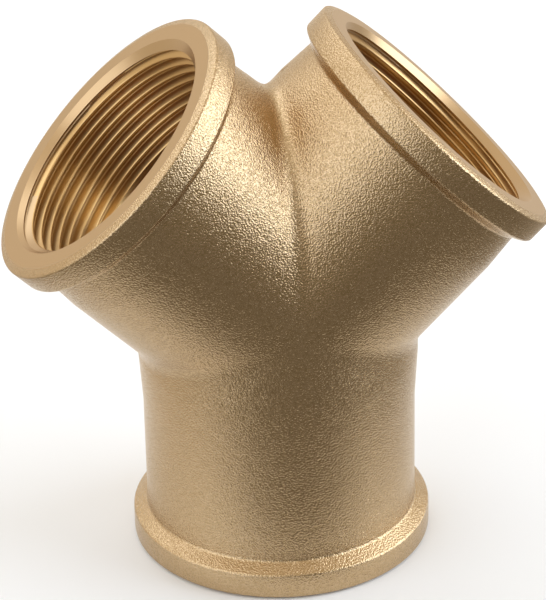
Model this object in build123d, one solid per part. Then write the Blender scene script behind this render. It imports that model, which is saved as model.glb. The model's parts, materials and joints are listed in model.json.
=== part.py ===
from build123d import *
import math
import os

# True wye pipe fitting: one brass casting with a leg and two equal branches that rise
# from one junction, 45 degrees each side of the leg. Each of its three ends is a round
# collar, faced and bored for a 1 1/2 inch parallel pipe thread.
#
# Millimetres. +Z up along the leg's axis, both branch axes in the XZ plane, and the
# origin at the centre of the leg's port face, on which the fitting stands.

# ---- the three axes ----
leg_length = 54.6           # leg's port face to the junction of the axes
branch_length = 45.6        # junction to a branch's port face
branch_angle = 45.0         # between the leg's axis and each branch's axis, in degrees

# ---- inside: the threaded ports and the waterway ----
thread_major_radius = 23.90     # roots of the 1 1/2 inch thread
thread_height = 1.48            # roots to crests
thread_depth = 22.0             # port face to the end of the threaded bore
mouth_clearance = 0.55          # countersink at the face, over the thread's roots
runout_step = 1.0               # from the threaded bore down to the cored waterway

# ---- outside of the casting ----
port_wall = 2.9             # metal left over the thread's roots
junction_swell = 0.6        # how much wider the tubes are where they meet
taper_length = 10.0         # stretch over which a tube narrows, if its collar leaves room
taper_clearance = 0.5       # between the end of a valley's fillet and that stretch
collar_step = 2.8           # collar over its tube
collar_height = 5.4         # straight side of a collar, from its port face
shoulder_drop = 1.6         # slope on the back of a collar, along its axis
rim_width = 1.7             # as-cast rim left round the machined face
rim_drop = 0.5              # how far that rim falls away from the face
shoulder_chamfer = 0.8      # outer corner of a collar's back
root_chamfer = 0.7          # corner where that back runs into its tube
crotch_fillet = 3.0         # valley between the two branches
leg_fillet = 2.0            # valleys between the leg and the branches

thread_minor_radius = thread_major_radius - thread_height
mouth_radius = thread_major_radius + mouth_clearance
waterway_radius = thread_minor_radius - runout_step
tube_radius = thread_major_radius + port_wall
junction_radius = tube_radius + junction_swell
collar_radius = tube_radius + collar_step
same_place = 0.01           # two edges this close are the same edge


def valley_reach(radius, angle_between):
    """How far along its axis a tube runs before it is clear of an equal tube."""
    return radius / math.tan(math.radians(angle_between) / 2)


def turned(outline):
    """Solid of revolution about Z of a closed outline drawn in the XZ plane."""
    return revolve(make_face(outline), axis=Axis.Z)


def casting_arm(length, valley_length):
    """Outer arm on Z: junction at Z = 0, valleys up to valley_length, face at length."""
    shoulder_top = length - collar_height
    shoulder_base = shoulder_top - shoulder_drop
    slope = shoulder_drop / collar_step
    taper_base = valley_length + taper_clearance
    taper_top = min(taper_base + taper_length, shoulder_base - 2 * root_chamfer)
    outline = Polyline(
        (0, 0, 0),
        (junction_radius, 0, 0),
        (junction_radius, 0, taper_base),
        (tube_radius, 0, taper_top),
        (tube_radius, 0, shoulder_base - root_chamfer),
        (tube_radius + root_chamfer, 0, shoulder_base + root_chamfer * slope),
        (collar_radius - shoulder_chamfer, 0, shoulder_top - shoulder_chamfer * slope),
        (collar_radius, 0, shoulder_top + shoulder_chamfer * slope),
        (collar_radius, 0, length - rim_drop),
        (collar_radius - rim_width, 0, length),
        (0, 0, length),
        close=True,
    )
    return turned(outline)


def waterway_arm(length):
    """Passage on Z: cored from the junction, then bored for the thread and countersunk."""
    bore_base = length - thread_depth
    outline = Polyline(
        (0, 0, 0),
        (waterway_radius, 0, 0),
        (waterway_radius, 0, bore_base - runout_step),
        (thread_minor_radius, 0, bore_base),
        (thread_minor_radius, 0, length - (mouth_radius - thread_minor_radius)),
        (mouth_radius, 0, length),
        (0, 0, length),
        close=True,
    )
    return turned(outline)


def joined(leg, branch):
    """A leg and two branches, each drawn on Z, placed round the junction and fused."""
    junction = Pos(0, 0, leg_length)
    body = junction * Rot(0, 180, 0) * leg
    for tilt in (-branch_angle, branch_angle):
        body += junction * Rot(0, tilt, 0) * branch
    return body


def is_valley(edge):
    """Equal round tubes meet in half ellipses, longer than the tubes are wide."""
    return edge.geom_type == GeomType.ELLIPSE and edge.length > junction_radius


def is_crotch(edge):
    """The valley between the branches lies in the YZ plane."""
    return is_valley(edge) and abs((edge @ 0.5).X) < same_place


leg_valley = valley_reach(junction_radius, 180 - branch_angle) + leg_fillet
crotch_valley = valley_reach(junction_radius, 2 * branch_angle) + crotch_fillet
casting = joined(casting_arm(leg_length, leg_valley), casting_arm(branch_length, crotch_valley))
casting = fillet(casting.edges().filter_by(is_crotch), crotch_fillet)
casting = fillet(casting.edges().filter_by(is_valley), leg_fillet)

waterway = joined(waterway_arm(leg_length), waterway_arm(branch_length))
wye_body = casting - waterway

os.makedirs("parts", exist_ok=True)
export_step(wye_body, "parts/wye_body.step")
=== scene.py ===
import json
import math

import bmesh
import bpy
from mathutils import Matrix, Vector


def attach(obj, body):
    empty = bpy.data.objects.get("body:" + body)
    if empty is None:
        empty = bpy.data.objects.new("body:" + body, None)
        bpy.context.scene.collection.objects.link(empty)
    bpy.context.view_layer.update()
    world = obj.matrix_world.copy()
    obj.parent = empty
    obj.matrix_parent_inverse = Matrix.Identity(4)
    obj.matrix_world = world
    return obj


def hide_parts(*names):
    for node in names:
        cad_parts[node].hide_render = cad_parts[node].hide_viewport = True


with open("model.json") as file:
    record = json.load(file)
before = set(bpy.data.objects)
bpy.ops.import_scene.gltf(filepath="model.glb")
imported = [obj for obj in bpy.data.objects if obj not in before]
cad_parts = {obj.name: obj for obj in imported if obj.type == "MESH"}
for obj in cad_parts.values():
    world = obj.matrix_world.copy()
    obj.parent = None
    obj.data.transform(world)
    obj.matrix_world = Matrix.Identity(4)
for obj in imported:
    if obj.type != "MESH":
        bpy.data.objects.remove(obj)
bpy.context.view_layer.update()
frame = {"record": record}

# A true wye pipe fitting in cast brass: a leg and two branches that meet in one junction,
# each with a collar, faced, bored and tapped for a 1 1/2 inch parallel pipe thread.
MM = 0.001

# ---- how finely it is made ----
TURN_STEPS = 240            # steps round every turned surface
ROUND_STEPS = 4             # steps round every rounded corner
ROW = 0.7                   # millimetres between rows along a tube, about one step round it
THREAD_STEPS = 120          # steps in one turn of the thread
SAME_PLACE = 1e-7           # metres within which two points are one
SMALL = 0.02                # millimetres by which a point may miss a surface it lies on
SHARP_ANGLE = 40            # degrees: a crease from here on stays crisp

# ---- the casting, in millimetres ----
BRANCH_ANGLE = 45.0         # degrees, between the leg's axis and each branch's
TUBE_RADIUS = 26.8
JUNCTION_RADIUS = 27.4
TAPER_LENGTH = 10.0
COLLAR_RADIUS = 29.6
COLLAR_HEIGHT = 5.4
SHOULDER_DROP = 1.6
RIM_WIDTH = 1.7
RIM_DROP = 0.5
RIM_ROUND = 0.4             # each rounding reaches this far from its corner
SHOULDER_ROUND = 0.35
ROOT_ROUND = 0.4
CROTCH_REACH = 3.4          # the valley between the branches is blended this far each side
LEG_REACH = 2.2             # and the valleys between the leg and the branches this far
VALLEY_BANDS = (1.0, 0.7, 0.4)      # shares of that reach, smoothed one after the other
VALLEY_PASSES = 10          # smoothing passes over each band
VALLEY_ENDS = 0.2           # share of that reach left where a valley fades out
SHORT_EDGE = 0.12           # edges under this are merged before the smoothing
SLIVER = 0.0005             # and those under this, left by the cuts, at the end
BLAST_GRAIN = 0.32          # size of the blasting shot, and of the pebbles that it leaves
BLAST_DEPTH = 0.16          # height of the noise from 0 to 1: the pebbles use under half of it

# ---- the machining, in millimetres ----
FACING_ALLOWANCE = 0.8      # metal that facing takes off each port
MOUTH_CLEARANCE = 0.55      # countersink over the thread's roots
RUNOUT_STEP = 1.0           # from the bore down to the cored passage
TOOL_CLEARANCE = 2.0        # how far the facing tool passes the collar
TOOL_OVERLAP = 0.3          # how far the tap's section reaches into the bore
PITCH = 2.309               # 1 1/2 inch parallel pipe thread, 11 to the inch
THREAD_HEIGHT = 0.640327 * PITCH
THREAD_ROUND = 0.137329 * PITCH
FLANK_ANGLE = 27.5          # degrees
RUNOUT_TURNS = 0.8          # length of the tap's last stretch, which grows shallow
RUNOUT_LIFT = 1.1           # where it ends, the tap has lifted by this share of the height

# ---- places, from the frame ----
mounts = {mount["name"]: mount for mount in frame["record"]["mounts"]}
right_port = mounts["right_port"]
# The junction is where this port's axis crosses the leg's, at x = 0.
run = right_port["pos_m"][0] / right_port["axis"][0]
JUNCTION = Vector(right_port["pos_m"]) - run * Vector(right_port["axis"])
BORE_RADIUS = right_port["dims"]["r_mm"]
MOUTH_RADIUS = BORE_RADIUS + THREAD_HEIGHT + MOUTH_CLEARANCE
COUNTERSINK = MOUTH_RADIUS - BORE_RADIUS
WATERWAY_RADIUS = BORE_RADIUS - RUNOUT_STEP


class Port:
    """One threaded end: its axis out of the junction, and the distance to its face."""

    def __init__(self, name):
        mount = mounts[name]
        self.name = name
        self.axis = Vector(mount["axis"]).normalized()
        middle = (Vector(mount["pos_m"]) - JUNCTION).dot(self.axis) / MM
        self.face = middle + mount["dims"]["length_mm"] / 2 + COUNTERSINK
        self.bore_base = middle - mount["dims"]["length_mm"] / 2
        across = Vector((0.0, 1.0, 0.0)).cross(self.axis)
        turn = Matrix((across, (0.0, 1.0, 0.0), self.axis)).transposed()
        self.place = Matrix.Translation(JUNCTION) @ turn.to_4x4()

    def measure(self, point):
        """Radius from the port's axis and distance along it, in millimetres."""
        offset = point - JUNCTION
        along = offset.dot(self.axis)
        return (offset - along * self.axis).length / MM, along / MM


PORTS = [Port(name) for name in ("leg_port", "left_port", "right_port")]


# ---- mesh helpers ----
def new_object(name, bm):
    """A piece made of the bmesh, which is freed."""
    mesh = bpy.data.meshes.new(name)
    bm.to_mesh(mesh)
    bm.free()
    piece = bpy.data.objects.new(name, mesh)
    bpy.context.scene.collection.objects.link(piece)
    return piece


def turned(name, outline, place, rounds=(), rows=()):
    """Solid turned about Z from (radius, height) points that start and end on the axis.

    rounds gives (point's index, reach) for corners, rows the indices of edges to divide."""
    bm = bmesh.new()
    corners = [bm.verts.new((radius * MM, 0.0, height * MM)) for radius, height in outline]
    face = bm.faces.new(corners)
    divided = [bm.edges.get((corners[i], corners[i + 1])) for i in rows]
    for edge in divided:
        bmesh.ops.subdivide_edges(bm, edges=[edge], cuts=round(edge.calc_length() / (ROW * MM)))
    for index, reach in rounds:
        corner = Vector((outline[index][0] * MM, 0.0, outline[index][1] * MM))
        nearest = min(bm.verts, key=lambda vert: (vert.co - corner).length)
        bmesh.ops.bevel(
            bm, geom=[nearest], offset=reach * MM, offset_type="OFFSET",
            segments=ROUND_STEPS, profile=0.5, affect="VERTICES", material=-1,
        )
    # Only the outline is turned, without its edge on the axis.
    bmesh.ops.delete(bm, geom=bm.faces[:], context="FACES_ONLY")
    axis_edges = [e for e in bm.edges if all(abs(v.co.x) < SAME_PLACE for v in e.verts)]
    bmesh.ops.delete(bm, geom=axis_edges, context="EDGES")
    bmesh.ops.spin(
        bm, geom=bm.verts[:] + bm.edges[:], cent=(0, 0, 0), axis=(0, 0, 1), dvec=(0, 0, 0),
        angle=math.tau, steps=TURN_STEPS, use_merge=True, use_duplicate=False,
    )
    bmesh.ops.remove_doubles(bm, verts=bm.verts, dist=SAME_PLACE)
    bmesh.ops.recalc_face_normals(bm, faces=bm.faces)
    bm.transform(place)
    return new_object(name, bm)


def bake_modifiers(piece):
    """Gives the piece the mesh that its modifiers make, and clears them."""
    depsgraph = bpy.context.evaluated_depsgraph_get()
    mesh = bpy.data.meshes.new_from_object(piece.evaluated_get(depsgraph))
    piece.modifiers.clear()
    piece.data = mesh


def combine(piece, operation, tool):
    """Adds the tool's solid to the piece or takes it away, and removes the tool."""
    step = piece.modifiers.new(operation, "BOOLEAN")
    step.operation = operation
    step.solver = "MANIFOLD"
    step.object = tool
    bake_modifiers(piece)
    bpy.data.objects.remove(tool)


# ---- the casting ----
def cast_arm(port):
    """One arm as it leaves the mould, with metal left on its port face."""
    shoulder_top = port.face - COLLAR_HEIGHT
    shoulder_base = shoulder_top - SHOULDER_DROP
    is_leg = port.axis.z < 0
    spread = math.radians(BRANCH_ANGLE / 2 if is_leg else BRANCH_ANGLE)
    valley = JUNCTION_RADIUS * math.tan(spread) + CROTCH_REACH
    taper_top = min(valley + TAPER_LENGTH, shoulder_base - 2 * ROOT_ROUND)
    extra = FACING_ALLOWANCE * RIM_WIDTH / RIM_DROP
    outline = [
        (0.0, 0.0),
        (JUNCTION_RADIUS, 0.0),
        (JUNCTION_RADIUS, valley),
        (TUBE_RADIUS, taper_top),
        (TUBE_RADIUS, shoulder_base),
        (COLLAR_RADIUS, shoulder_top),
        (COLLAR_RADIUS, port.face - RIM_DROP),
        (COLLAR_RADIUS - RIM_WIDTH - extra, port.face + FACING_ALLOWANCE),
        (0.0, port.face + FACING_ALLOWANCE),
    ]
    rounds = [(4, ROOT_ROUND), (5, SHOULDER_ROUND), (6, RIM_ROUND)]
    widest_tube = [1]
    return turned(port.name + "_arm", outline, port.place, rounds, rows=widest_tube)


def blend_valleys(piece):
    """Softens the valleys where the arms meet, as a mould's fillets do."""
    down, left, right = (port.axis for port in PORTS)
    planes = [
        ((left - right).normalized(), CROTCH_REACH, lambda p: p.z > 0),
        ((down - left).normalized(), LEG_REACH, lambda p: p.x <= 0 and p.z < 0),
        ((down - right).normalized(), LEG_REACH, lambda p: p.x >= 0 and p.z < 0),
    ]

    def in_valley(offset, share):
        """Whether a point is in a valley's band, which narrows to the front and the back."""
        depth = math.sqrt(max(0.0, 1 - (offset.y / MM / JUNCTION_RADIUS) ** 2))
        fade = VALLEY_ENDS + (1 - VALLEY_ENDS) * depth
        return any(
            side(offset) and abs(offset.dot(normal)) < share * reach * fade * MM
            for normal, reach, side in planes
        )

    bm = bmesh.new()
    bm.from_mesh(piece.data)
    for share in VALLEY_BANDS:
        near = [vert for vert in bm.verts if in_valley(vert.co - JUNCTION, share)]
        if share == VALLEY_BANDS[0]:
            edges = dict.fromkeys(edge for vert in near for edge in vert.link_edges)
            bmesh.ops.dissolve_degenerate(bm, edges=list(edges), dist=SHORT_EDGE * MM)
            near = [vert for vert in near if vert.is_valid]
        for _ in range(VALLEY_PASSES):
            bmesh.ops.smooth_vert(
                bm, verts=near, factor=0.5, use_axis_x=True, use_axis_y=True, use_axis_z=True
            )
    bm.to_mesh(piece.data)
    bm.free()


# ---- machining ----
def bore_tool(port):
    """What facing, boring and countersinking take away, with the cored passage behind."""
    clear = COLLAR_RADIUS + TOOL_CLEARANCE
    outline = [
        (0.0, 0.0),
        (WATERWAY_RADIUS, 0.0),
        (WATERWAY_RADIUS, port.bore_base - RUNOUT_STEP),
        (BORE_RADIUS, port.bore_base),
        (BORE_RADIUS, port.face - COUNTERSINK),
        (MOUTH_RADIUS, port.face),
        (clear, port.face),
        (clear, port.face + 2 * FACING_ALLOWANCE),
        (0.0, port.face + 2 * FACING_ALLOWANCE),
    ]
    return turned(port.name + "_bore", outline, port.place)


def thread_groove():
    """Section of one groove, as (radius, half width) from the bore out to the root.

    The angles step round the crest's rounding, as far as the flank, and then the root's."""
    crest_centre = BORE_RADIUS + THREAD_ROUND
    root_centre = BORE_RADIUS + THREAD_HEIGHT - THREAD_ROUND
    section = []
    for angle in (15, 40, 90 - FLANK_ANGLE):
        a = math.radians(angle)
        radius = crest_centre - THREAD_ROUND * math.cos(a)
        section.append((radius, PITCH / 2 - THREAD_ROUND * math.sin(a)))
    for angle in (FLANK_ANGLE, 58, 90):
        a = math.radians(angle)
        section.append((root_centre + THREAD_ROUND * math.sin(a), THREAD_ROUND * math.cos(a)))
    return [(BORE_RADIUS - TOOL_OVERLAP, section[0][1])] + section


def thread_tool(port):
    """A right-hand helix of the groove's section, from the bore's base out past the face."""
    section = thread_groove()
    start = port.bore_base + PITCH / 2
    turns = math.ceil((port.face + PITCH / 2 - start) / PITCH)
    outline = section + [(radius, -half) for radius, half in reversed(section[:-1])]
    bm = bmesh.new()
    ring = [bm.verts.new((radius * MM, 0.0, (start + half) * MM)) for radius, half in outline]
    for index in range(len(ring)):
        bm.edges.new((ring[index - 1], ring[index]))
    tool = new_object(port.name + "_thread", bm)
    sweep = tool.modifiers.new("sweep", "SCREW")
    sweep.axis = "Z"
    sweep.angle = math.tau
    sweep.screw_offset = PITCH * MM
    sweep.iterations = turns
    sweep.steps = THREAD_STEPS
    sweep.use_merge_vertices = False
    bake_modifiers(tool)
    bm = bmesh.new()
    bm.from_mesh(tool.data)
    # The tap cuts shallow in its last turn, which is the first from the bore's base.
    for vert in bm.verts:
        angle = math.atan2(vert.co.y, vert.co.x) % math.tau / math.tau
        turn = round((vert.co.z / MM - start) / PITCH - angle) + angle
        lift = max(0.0, 1 - turn / RUNOUT_TURNS) * RUNOUT_LIFT * THREAD_HEIGHT
        outwards = Vector((vert.co.x, vert.co.y, 0.0)).normalized()
        vert.co -= outwards * lift * MM
    bmesh.ops.holes_fill(bm, edges=[e for e in bm.edges if e.is_boundary], sides=0)
    bmesh.ops.recalc_face_normals(bm, faces=bm.faces)
    bm.transform(port.place)
    bm.to_mesh(tool.data)
    bm.free()
    return tool


def wye():
    """The casting, with its three ends faced, bored and tapped."""
    casting = cast_arm(PORTS[0])
    for port in PORTS[1:]:
        combine(casting, "UNION", cast_arm(port))
    blend_valleys(casting)
    for port in PORTS:
        combine(casting, "DIFFERENCE", bore_tool(port))
    for port in PORTS:
        combine(casting, "DIFFERENCE", thread_tool(port))
    casting.name = "wye_casting"
    casting.data.name = "wye_casting"
    return casting


# ---- finishes ----
def linear(code):
    """An sRGB hex colour as linear red, green, blue and alpha."""
    parts = [int(code[i:i + 2], 16) / 255 for i in (1, 3, 5)]
    return tuple(c / 12.92 if c <= 0.04045 else ((c + 0.055) / 1.055) ** 2.4 for c in parts) + (1.0,)


def add_node(tree, kind, settings=None, links=None):
    """Adds a shader node, sets its properties and inputs, and links outputs to its inputs."""
    node = tree.nodes.new(kind)
    for name, value in (settings or {}).items():
        if isinstance(name, int) or name in node.inputs:
            node.inputs[name].default_value = value
        else:
            setattr(node, name, value)
    for name, output in (links or {}).items():
        tree.links.new(output, node.inputs[name])
    return node


def bare_brass(name, colour, roughness):
    """Metal without a coat: its colour is that of what it mirrors, warmed by the brass."""
    material = bpy.data.materials.new(name)
    material.use_nodes = True
    shader = material.node_tree.nodes["Principled BSDF"]
    shader.inputs["Base Color"].default_value = linear(colour)
    shader.inputs["Metallic"].default_value = 1.0
    shader.inputs["Roughness"].default_value = roughness
    return material


def shot_blasted_brass():
    """Sand-cast brass, shot blasted.

    Blasting beats the skin into soft pebbles with a pitch near the shot's own size, so the eye
    sees a warm satin metal whose highlights break up into glints, and whose hollows are a
    shade darker."""
    material = bare_brass("shot_blasted_brass", "#C8AC84", 0.25)
    tree = material.node_tree
    shader = tree.nodes["Principled BSDF"]
    place = add_node(tree, "ShaderNodeTexCoord")
    grain = add_node(
        tree, "ShaderNodeTexNoise",
        {"Scale": 1 / (BLAST_GRAIN * MM), "Detail": 1.0, "Roughness": 0.5},
        {"Vector": place.outputs["Object"]},
    )
    tint = add_node(tree, "ShaderNodeValToRGB", links={"Fac": grain.outputs["Fac"]})
    hollow, pebble = tint.color_ramp.elements
    hollow.position = 0.36
    hollow.color = linear("#BBA077")
    pebble.position = 0.58
    pebble.color = linear("#CAAF8A")
    relief = add_node(
        tree, "ShaderNodeBump", {"Strength": 1.0, "Distance": BLAST_DEPTH * MM},
        {"Height": grain.outputs["Fac"]},
    )
    tree.links.new(tint.outputs["Color"], shader.inputs["Base Color"])
    tree.links.new(relief.outputs["Normal"], shader.inputs["Normal"])
    return material


def faced_brass():
    """Brass faced on a lathe: a flat, even satin without grain, paler than the cast skin."""
    return bare_brass("faced_brass", "#C4A67E", 0.32)


def tapped_brass():
    """Brass cut by a tap: clean metal, more golden, with a bright line along each crest."""
    return bare_brass("tapped_brass", "#D0AC76", 0.33)


def cored_brass():
    """Brass cast against a sand core and left so: darker, duller, with hardly a highlight."""
    return bare_brass("cored_brass", "#B08A55", 0.5)


FINISHES = (shot_blasted_brass, faced_brass, tapped_brass, cored_brass)
CAST, FACED, TAPPED, CORED = range(len(FINISHES))


def finish_at(point):
    """Which process made the surface at a point of the finished fitting."""
    places = [port.measure(point) for port in PORTS]
    for port, (radius, along) in zip(PORTS, places):
        if along > port.face - SMALL:
            return FACED
        if radius < MOUTH_RADIUS and along > port.bore_base - SMALL:
            past_bore = along - port.face + COUNTERSINK
            in_countersink = past_bore > SMALL and radius - BORE_RADIUS > past_bore - SMALL
            return FACED if in_countersink else TAPPED
    radius = min(radius for radius, along in places if along > -SMALL)
    return CORED if radius < BORE_RADIUS else CAST


def dress(piece):
    """Gives each face the finish of the process that made it."""
    piece.data.materials.clear()
    for finish in FINISHES:
        piece.data.materials.append(finish())
    bm = bmesh.new()
    bm.from_mesh(piece.data)
    bmesh.ops.dissolve_degenerate(bm, edges=bm.edges[:], dist=SLIVER * MM)
    for face in bm.faces:
        face.material_index = finish_at(face.calc_center_median())
        face.smooth = True
    for edge in bm.edges:
        finishes = {face.material_index for face in edge.link_faces}
        crisp = len(finishes) > 1 or edge.calc_face_angle(0.0) >= math.radians(SHARP_ANGLE)
        edge.smooth = not crisp
    bm.to_mesh(piece.data)
    bm.free()


# ---- camera, floor and lights ----
VIEW_AZIMUTH = -10.566      # degrees round from straight in front: negative is to the left


def camera():
    """Looks down at the front from a little to its left, through a long lens."""
    azimuth = math.radians(VIEW_AZIMUTH)
    elevation = math.radians(27.836)
    roll = math.radians(-1.252)
    aim = Vector((-0.77, 0.14, 50.11)) * MM
    distance = 607.07 * MM
    level = Vector((math.cos(azimuth), math.sin(azimuth), 0.0))
    back = Vector((
        math.sin(azimuth) * math.cos(elevation),
        -math.cos(azimuth) * math.cos(elevation),
        math.sin(elevation),
    ))
    across = Matrix.Rotation(roll, 3, back) @ level
    turn = Matrix((across, back.cross(across), back)).transposed()
    lens = bpy.data.cameras.new("camera")
    lens.lens = 187.2
    lens.sensor_width = 36.0
    view = bpy.data.objects.new("camera", lens)
    view.matrix_world = Matrix.Translation(aim + distance * back) @ turn.to_4x4()
    bpy.context.scene.collection.objects.link(view)
    bpy.context.scene.camera = view


def floor():
    """A plain sheet of pale paper laid towards the camera, a little larger than the view of it.

    Its sizes and its place are in metres."""
    front_width, back_width, length = 0.134, 0.1876, 0.385
    middle = (-0.002, 0.147, 0.0)
    slant = 0.18                # how much further back a point lies for each metre to the right
    bm = bmesh.new()
    bmesh.ops.create_grid(bm, x_segments=1, y_segments=1, size=0.5)
    bmesh.ops.scale(bm, verts=bm.verts, vec=(front_width, length, 1.0))
    back_corners = [vert for vert in bm.verts if vert.co.y > 0]
    bmesh.ops.scale(bm, verts=back_corners, vec=(back_width / front_width, 1.0, 1.0))
    bmesh.ops.translate(bm, verts=bm.verts, vec=middle)
    bmesh.ops.transform(bm, verts=bm.verts, matrix=Matrix.Shear("YZ", 4, (slant, 0.0)))
    towards_camera = Matrix.Rotation(math.radians(VIEW_AZIMUTH), 3, "Z")
    bmesh.ops.rotate(bm, verts=bm.verts, cent=(0.0, 0.0, 0.0), matrix=towards_camera)
    sheet = new_object("floor", bm)
    material = bpy.data.materials.new("uncoated_paper")
    material.use_nodes = True
    shader = material.node_tree.nodes["Principled BSDF"]
    shader.inputs["Base Color"].default_value = linear("#F2F4F6")
    shader.inputs["Roughness"].default_value = 0.8
    sheet.data.materials.append(material)


def softbox(name, place, size, radiance):
    """A daylight softbox aimed at the junction, as bright as its radiance: 1 is plain white."""
    lamp = bpy.data.lights.new(name, "AREA")
    lamp.shape = "RECTANGLE"
    lamp.size, lamp.size_y = size
    lamp.color = linear("#E0EDFF")[:3]
    lamp.energy = radiance * math.pi * size[0] * size[1]
    light = bpy.data.objects.new(name, lamp)
    light.location = place
    light.rotation_euler = (Vector(place) - JUNCTION).to_track_quat("Z", "Y").to_euler()
    bpy.context.scene.collection.objects.link(light)


def studio():
    """A pale room, dimmer low in front and to the right, and softboxes behind and at each side."""
    bright_end = (-0.25, 0.7, 0.7)      # high behind, a little to the left
    world = bpy.data.worlds.new("studio")
    bpy.context.scene.world = world
    world.use_nodes = True
    tree = world.node_tree
    direction = add_node(tree, "ShaderNodeTexCoord")
    rise = add_node(
        tree, "ShaderNodeVectorMath",
        {"operation": "DOT_PRODUCT", 1: bright_end},
        {"Vector": direction.outputs["Generated"]},
    )
    strength = add_node(
        tree, "ShaderNodeMapRange",
        {"interpolation_type": "SMOOTHSTEP", "From Min": -0.9, "From Max": 0.7,
         "To Min": 0.22, "To Max": 0.9},
        {"Value": rise.outputs["Value"]},
    )
    room = tree.nodes["Background"]
    room.inputs["Color"].default_value = linear("#FFF3E0")
    tree.links.new(strength.outputs["Result"], room.inputs["Strength"])
    softbox("back_softbox", (-0.3, 0.5, 0.8), (0.8, 0.8), 1.4)
    softbox("right_softbox", (0.83, -0.18, 0.37), (1.0, 0.76), 3.6)
    softbox("left_softbox", (-0.65, -0.4, 0.36), (0.9, 0.9), 1.3)


camera()
bpy.context.scene.view_settings.view_transform = "Standard"
floor()
studio()
body = wye()
dress(body)
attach(body, "root")
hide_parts("wye_body")
